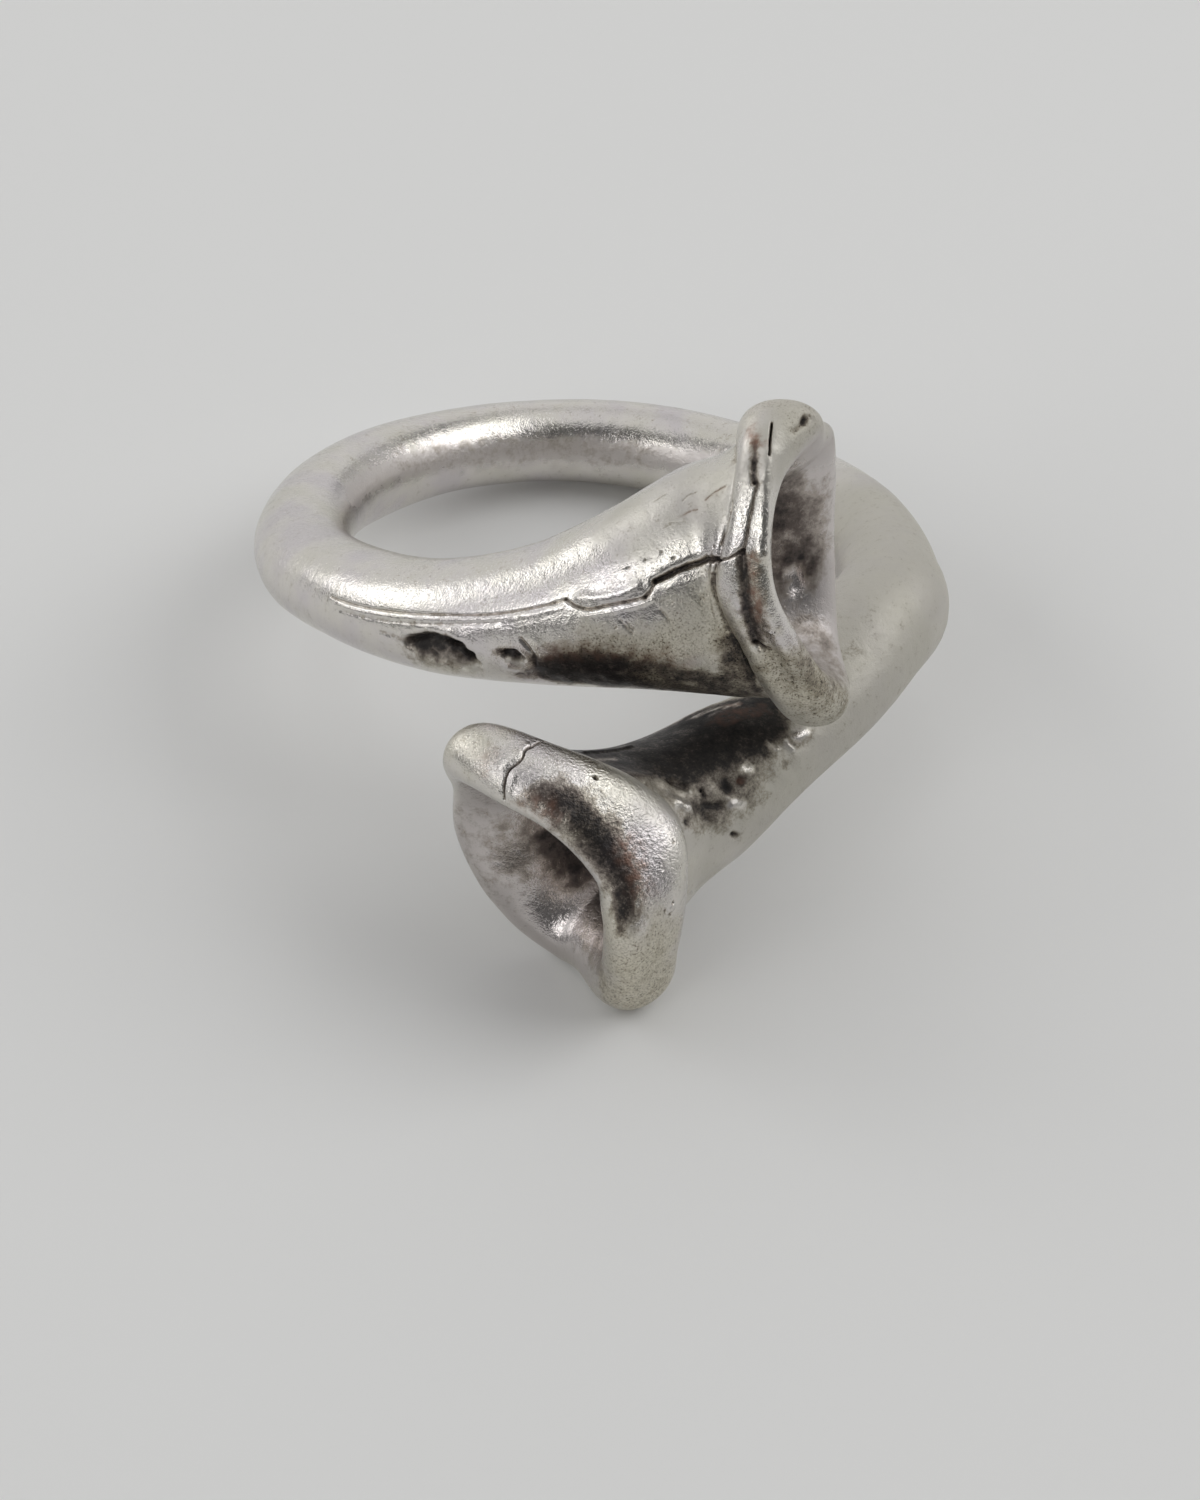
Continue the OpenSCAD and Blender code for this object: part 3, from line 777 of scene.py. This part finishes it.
def marked_skin(along, angle):
    """The skin's points with its marks, and each point's tarnish and painted shade, redness, dullness
    and so on.
    """
    points = skin(along, angle)
    layers = {name: np.zeros(len(points)) for name in PATCHES}
    height = mark_heights(points, layers["tarnish_and_shade"])
    for name, rows in PATCHES.items():
        for strength, half_width, path in rows:
            near, gap = distances(points, line_points(path), REACH * half_width)
            waves = PATCH_WAVES / half_width ** PATCH_WAVE_POWER
            ragged = 1 + PATCH_ROUGHNESS * wavy(points[near], waves, PATCH_SEED)
            soft_union(layers[name], near, strength * patch_share(gap * ragged, half_width))
    past = np.maximum(along - UPPER["start"], LOWER["start"] - along)
    everywhere = np.arange(len(points))
    # Painted shade that deepens down each throat
    soft_union(layers["tarnish_and_shade"], everywhere, smoothstep(past, *THROAT_SHADE_DEEPENS))
    worn_and_lit = layers.pop("worn_and_lit")
    layers["tarnish_and_shade"] *= 1 - worn_and_lit
    layers["dull"] *= 1 - worn_and_lit
    layers["inside"] = np.maximum(layers["inside"], smoothstep(past, *THROAT_BEGINS))
    return points + outward_normals(along, angle) * height[:, None], layers


def make_ring():
    """The ring's skin with its marks, and a layer of values for each kind of patch."""
    mesh = tube_mesh()
    bm = bmesh.new()
    bm.from_mesh(mesh)
    caps = [f for f in bm.faces if len(f.verts) > 4]
    bmesh.ops.poke(bm, faces=caps)
    refine(bm)
    bmesh.ops.triangulate(bm, faces=[f for f in bm.faces if len(f.verts) > 4])
    bm.to_mesh(mesh)
    co = np.zeros(len(mesh.vertices) * 3)
    mesh.vertices.foreach_get("co", co)
    points, layers = marked_skin(*places(co.reshape(-1, 3)))
    mesh.vertices.foreach_set("co", placed(points).astype(np.float32).ravel())
    for name, values in layers.items():
        layer = mesh.attributes.new(name, "FLOAT", "POINT")
        layer.data.foreach_set("value", values.astype(np.float32))
    bm.clear()
    bm.from_mesh(mesh)
    bmesh.ops.recalc_face_normals(bm, faces=bm.faces)
    bm.to_mesh(mesh)
    bm.free()
    for polygon in mesh.polygons:
        polygon.use_smooth = True
    print("ring triangles", sum(len(p.vertices) - 2 for p in mesh.polygons))
    made = bpy.data.objects.new("ring_skin", mesh)
    bpy.context.scene.collection.objects.link(made)
    return made


# The photo's size and the place of the hoop's middle in it, in its pixels, and its scale there
PHOTO_WIDE = 1200
PHOTO_HIGH = 1500
HOOP_PIXEL = (597, 544)
PIXELS_PER_MM = 27
CAMERA_DISTANCE = 170
# The camera's direction from the hoop's middle in the ring's own frame
CAMERA_TURN = -12
CAMERA_RISE = 22
# The camera's sensor in millimetres, and the nearest that it sees in metres
SENSOR = 36
CLIP_START = 0.01


def make_camera():
    """The photo's view, with the hoop's middle at its place in the photo."""
    turn, rise = CAMERA_TURN, CAMERA_RISE
    back = np.array([sin(turn) * cos(rise), -cos(turn) * cos(rise), sin(rise)])
    right = np.array([cos(turn), sin(turn), 0.0])
    up = np.cross(back, right)
    data = bpy.data.cameras.new("camera")
    data.sensor_width = SENSOR
    data.lens = PIXELS_PER_MM * CAMERA_DISTANCE / PHOTO_HIGH * SENSOR
    data.clip_start = CLIP_START
    camera = bpy.data.objects.new("camera", data)
    bpy.context.scene.collection.objects.link(camera)
    place = placed(back * CAMERA_DISTANCE)
    aim_right = (PHOTO_WIDE / 2 - HOOP_PIXEL[0]) / PIXELS_PER_MM
    aim_up = (HOOP_PIXEL[1] - PHOTO_HIGH / 2) / PIXELS_PER_MM
    aim = placed(right * aim_right + up * aim_up)
    z = unit(place - aim)
    x = unit(np.cross(rested(up), z))
    y = np.cross(z, x)
    camera.matrix_world = Matrix([[x[0], y[0], z[0], place[0]], [x[1], y[1], z[1], place[1]],
                                  [x[2], y[2], z[2], place[2]], [0, 0, 0, 1]])
    bpy.context.scene.camera = camera


def add_node(tree, kind, inputs, **settings):
    """A shader node with its settings, and its inputs as numbers or as other nodes' outputs."""
    made = tree.nodes.new(kind)
    for name, value in settings.items():
        setattr(made, name, value)
    for socket, value in inputs.items():
        if isinstance(value, bpy.types.NodeSocket):
            tree.links.new(value, made.inputs[socket])
        else:
            made.inputs[socket].default_value = value
    return made


def noise_node(tree, place, scale, detail, roughness):
    inputs = {"Vector": place, "Scale": scale, "Detail": detail, "Roughness": roughness}
    return add_node(tree, "ShaderNodeTexNoise", inputs).outputs["Fac"]


def math_node(tree, operation, first, second, third=0.0, clamp=False):
    inputs = {0: first, 1: second, 2: third}
    return add_node(tree, "ShaderNodeMath", inputs, operation=operation, use_clamp=clamp).outputs[0]


def range_node(tree, value, low, high, to_low=0.0, to_high=1.0):
    """A value carried over from one range to another."""
    inputs = {"Value": value, "From Min": low, "From Max": high, "To Min": to_low, "To Max": to_high}
    return add_node(tree, "ShaderNodeMapRange", inputs).outputs["Result"]


def mix_node(tree, share, first, second, blend_type="MIX"):
    """A mix of two colours."""
    inputs = {"Factor": share, 6: first, 7: second}
    return add_node(tree, "ShaderNodeMix", inputs, data_type="RGBA", blend_type=blend_type).outputs[2]


def ramp_node(tree, value, stops):
    """Colours by a value, from its stops."""
    made = add_node(tree, "ShaderNodeValToRGB", {"Fac": value})
    elements = made.color_ramp.elements
    while len(elements) < len(stops):
        elements.new(0.5)
    for element, (position, colour) in zip(elements, stops):
        element.position = position
        element.color = (*colour, 1)
    return made.outputs["Color"]


def layer_node(tree, name):
    """A layer of the mesh's values."""
    return add_node(tree, "ShaderNodeAttribute", {}, attribute_name=name).outputs["Fac"]


def bump_node(tree, height, bump, under=None):
    """A bump of a strength and a depth, over the normal of the bump under it."""
    strength, depth = bump
    inputs = {"Strength": strength, "Distance": depth * MM, "Height": height}
    if under is not None:
        inputs["Normal"] = under
    return add_node(tree, "ShaderNodeBump", inputs).outputs["Normal"]


# The material's noises. Columns: waves per millimetre, detail and roughness
CLOUDS = (0.45, 3, 0.5)
MOTTLE = (2.6, 5, 0.6)
SPECKS = (9, 3, 0.6)
GRAIN = (13, 2, 0.6)
FLECKS = (13, 2, 0.5)

# Its bumps. Columns: strength, and depth in millimetres
GRAIN_BUMP = (0.5, 0.02)
PIT_BUMP = (0.4, 0.01)
CREASE_BUMP = (0.9, 0.045)
MOTTLE_BUMP = (0.5, 0.05)

# Its colours: bare silver by its noise, sandy places by their grain, and what tarnish and painted shade
# leave of them, from none to the thickest
SILVER_TONES = [
    (0.35, (0.69, 0.665, 0.6)), (0.5, (0.72, 0.69, 0.65)), (0.65, (0.67, 0.635, 0.635)),
]
SANDY_TONES = [
    (0.34, (0.42, 0.385, 0.3)), (0.52, (0.68, 0.64, 0.53)), (0.7, (0.78, 0.75, 0.66)),
]
TARNISH_AND_SHADE_TONES = [
    (0.0, (1, 1, 1)), (0.22, (0.68, 0.65, 0.6)), (0.5, (0.26, 0.23, 0.21)),
    (0.75, (0.06, 0.053, 0.052)), (1.0, (0.018, 0.017, 0.018)),
]
DULL_GREY = (0.5, 0.48, 0.42, 1)
THROAT_GREY = (0.6, 0.56, 0.545, 1)
COPPER_BROWN = (0.27, 0.145, 0.1, 1)


def silver():
    """Worn antique silver: satin, warm grey, with dark tarnish in its hollows and shade painted into its
    colour.
    """
    material = bpy.data.materials.new("antique_silver")
    material.use_nodes = True
    tree = material.node_tree
    shader = tree.nodes["Principled BSDF"]
    metres = add_node(tree, "ShaderNodeTexCoord", {}).outputs["Object"]
    inputs = {0: metres, "Scale": 1 / MM}
    place = add_node(tree, "ShaderNodeVectorMath", inputs, operation="SCALE").outputs[0]
    tarnish_and_shade, copper, dull = [layer_node(tree, name) for name in ("tarnish_and_shade", "copper", "dull")]
    sandy, creased, inside = [layer_node(tree, name) for name in ("sandy", "creased", "inside")]
    outside = math_node(tree, "SUBTRACT", 1.0, inside)
    clouds = noise_node(tree, place, *CLOUDS)
    mottle = noise_node(tree, place, *MOTTLE)
    specks = noise_node(tree, place, *SPECKS)
    grain = noise_node(tree, place, *GRAIN)

    # The tarnish and painted shade break up into blots and specks, and less finely in the throats
    fine = math_node(tree, "MULTIPLY_ADD", grain, 0.5, -0.6)
    fine = math_node(tree, "MULTIPLY_ADD", specks, 0.7, fine)
    fineness = math_node(tree, "MULTIPLY_ADD", outside, 0.7, 0.3)
    broken = math_node(tree, "MULTIPLY_ADD", fine, fineness, -0.45)
    broken = math_node(tree, "MULTIPLY_ADD", mottle, 0.9, broken)

    # Dark flecks outside the throats, most of them on sandy places
    flecks = range_node(tree, noise_node(tree, place, *FLECKS), 0.34, 0.43, 1, 0)
    flecks = math_node(tree, "MULTIPLY", flecks, math_node(tree, "MULTIPLY_ADD", sandy, 0.3, 0.15))
    flecks = math_node(tree, "MULTIPLY", flecks, outside)
    broken = math_node(tree, "ADD", broken, flecks)
    dark = range_node(tree, math_node(tree, "ADD", tarnish_and_shade, broken), 0.13, 1.2)

    # The colour: the metal's own, the tarnish and painted shade over it, and the reddish tint over both
    metal = ramp_node(tree, clouds, SILVER_TONES)
    sand = ramp_node(tree, grain, SANDY_TONES)
    metal = mix_node(tree, math_node(tree, "MULTIPLY", sandy, 0.85), metal, sand)
    metal = mix_node(tree, math_node(tree, "MULTIPLY", dull, 0.8), metal, DULL_GREY)
    metal = mix_node(tree, inside, metal, THROAT_GREY)
    left = ramp_node(tree, dark, TARNISH_AND_SHADE_TONES)
    base = mix_node(tree, 1.0, metal, left, blend_type="MULTIPLY")
    redness = math_node(tree, "MULTIPLY", copper, range_node(tree, mottle, 0.35, 0.65), clamp=True)
    base = mix_node(tree, redness, base, COPPER_BROWN)
    tree.links.new(base, shader.inputs["Base Color"])

    # Places darkened by tarnish and painted shade, and dull and sandy places, are rougher, and the
    # darkened and dull ones less metallic
    rough = range_node(tree, mottle, 0.3, 0.7, 0.13, 0.24)
    for layer, more in ((dark, 0.22), (dull, 0.38), (sandy, 0.22)):
        rough = math_node(tree, "MULTIPLY_ADD", layer, more, rough)
    tree.links.new(rough, shader.inputs["Roughness"])
    metallic = 1.0
    for layer, less in ((dark, -0.55), (dull, -0.5)):
        metallic = math_node(tree, "MULTIPLY_ADD", layer, less, metallic)
    tree.links.new(metallic, shader.inputs["Metallic"])

    # The bumps: grain that is coarser on sandy places, pits, creases, and a slight unevenness
    rubbed = math_node(tree, "MULTIPLY", grain, math_node(tree, "MULTIPLY_ADD", sandy, 2.5, 1.0))
    normal = bump_node(tree, rubbed, GRAIN_BUMP)
    pits = range_node(tree, specks, 0.3, 0.42)
    normal = bump_node(tree, pits, PIT_BUMP, normal)
    creases = math_node(tree, "MULTIPLY", specks, math_node(tree, "MULTIPLY_ADD", creased, 0.9, 0.1))
    normal = bump_node(tree, creases, CREASE_BUMP, normal)
    normal = bump_node(tree, mottle, MOTTLE_BUMP, normal)
    tree.links.new(normal, shader.inputs["Normal"])
    return material


# The lights. Columns: name, degrees round from +X, degrees up, distance, width and height in
# metres, and brightness. They point at the middle of the ring, at this height
LIGHTS = [
    ("back_wall", 100, 20, 0.5, 1.02, 0.5, 0.6),
    ("top", 90, 75, 0.5, 0.55, 0.5, 0.6),
    ("left_wall", 190, 33, 0.45, 0.52, 0.3, 0.68),
    ("right_wall", 18, 15, 0.5, 0.6, 0.35, 0.4),
    ("left_key", 217, 28, 0.4, 0.19, 0.17, 1.65),
    ("left_back_key", 148, 25, 0.4, 0.2, 0.19, 1.6),
    ("right_key", 354, 44, 0.4, 0.33, 0.3, 2.0),
]
LIT_HEIGHT = 0.008

# The floor: its size and how far it lies below the ring, in metres, its colour and roughness
FLOOR_SIZE = 2
FLOOR_DROP = 0.0001
FLOOR_PAPER = (0.8, 0.8, 0.79, 1)
FLOOR_ROUGHNESS = 0.7

# The light from all round
WORLD_GREY = (0.5, 0.5, 0.5, 1)
WORLD_STRENGTH = 0.24


def soft_light(name, turn, rise, distance, wide, high, brightness):
    """A soft box in a direction from the ring."""
    data = bpy.data.lights.new(name, "AREA")
    data.shape = "RECTANGLE"
    data.size, data.size_y = wide, high
    data.energy = brightness * math.pi * wide * high
    lamp = bpy.data.objects.new(name, data)
    toward = Vector((cos(turn) * cos(rise), sin(turn) * cos(rise), sin(rise)))
    lamp.location = Vector((0, 0, LIT_HEIGHT)) + toward * distance
    lamp.rotation_mode = "QUATERNION"
    lamp.rotation_quaternion = toward.to_track_quat("Z", "Y")
    bpy.context.scene.collection.objects.link(lamp)


def make_floor():
    """A pale sheet of paper."""
    bpy.ops.mesh.primitive_plane_add(size=FLOOR_SIZE, location=(0, 0, -FLOOR_DROP))
    made = bpy.context.object
    made.name = "floor"
    paper = bpy.data.materials.new("pale_floor")
    paper.use_nodes = True
    shader = paper.node_tree.nodes["Principled BSDF"]
    shader.inputs["Base Color"].default_value = FLOOR_PAPER
    shader.inputs["Roughness"].default_value = FLOOR_ROUGHNESS
    made.data.materials.append(paper)
    return made


def light_scene():
    """The lights, a grey world, and tones as they are."""
    bpy.context.scene.view_settings.view_transform = "Standard"
    world = bpy.data.worlds.new("studio")
    bpy.context.scene.world = world
    world.use_nodes = True
    background = world.node_tree.nodes["Background"]
    background.inputs["Color"].default_value = WORLD_GREY
    background.inputs["Strength"].default_value = WORLD_STRENGTH
    for row in LIGHTS:
        soft_light(*row)


make_camera()
ring = make_ring()
ring.data.materials.append(silver())
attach(ring, "root")
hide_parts("wrap_ring")

floor = make_floor()
light_scene()
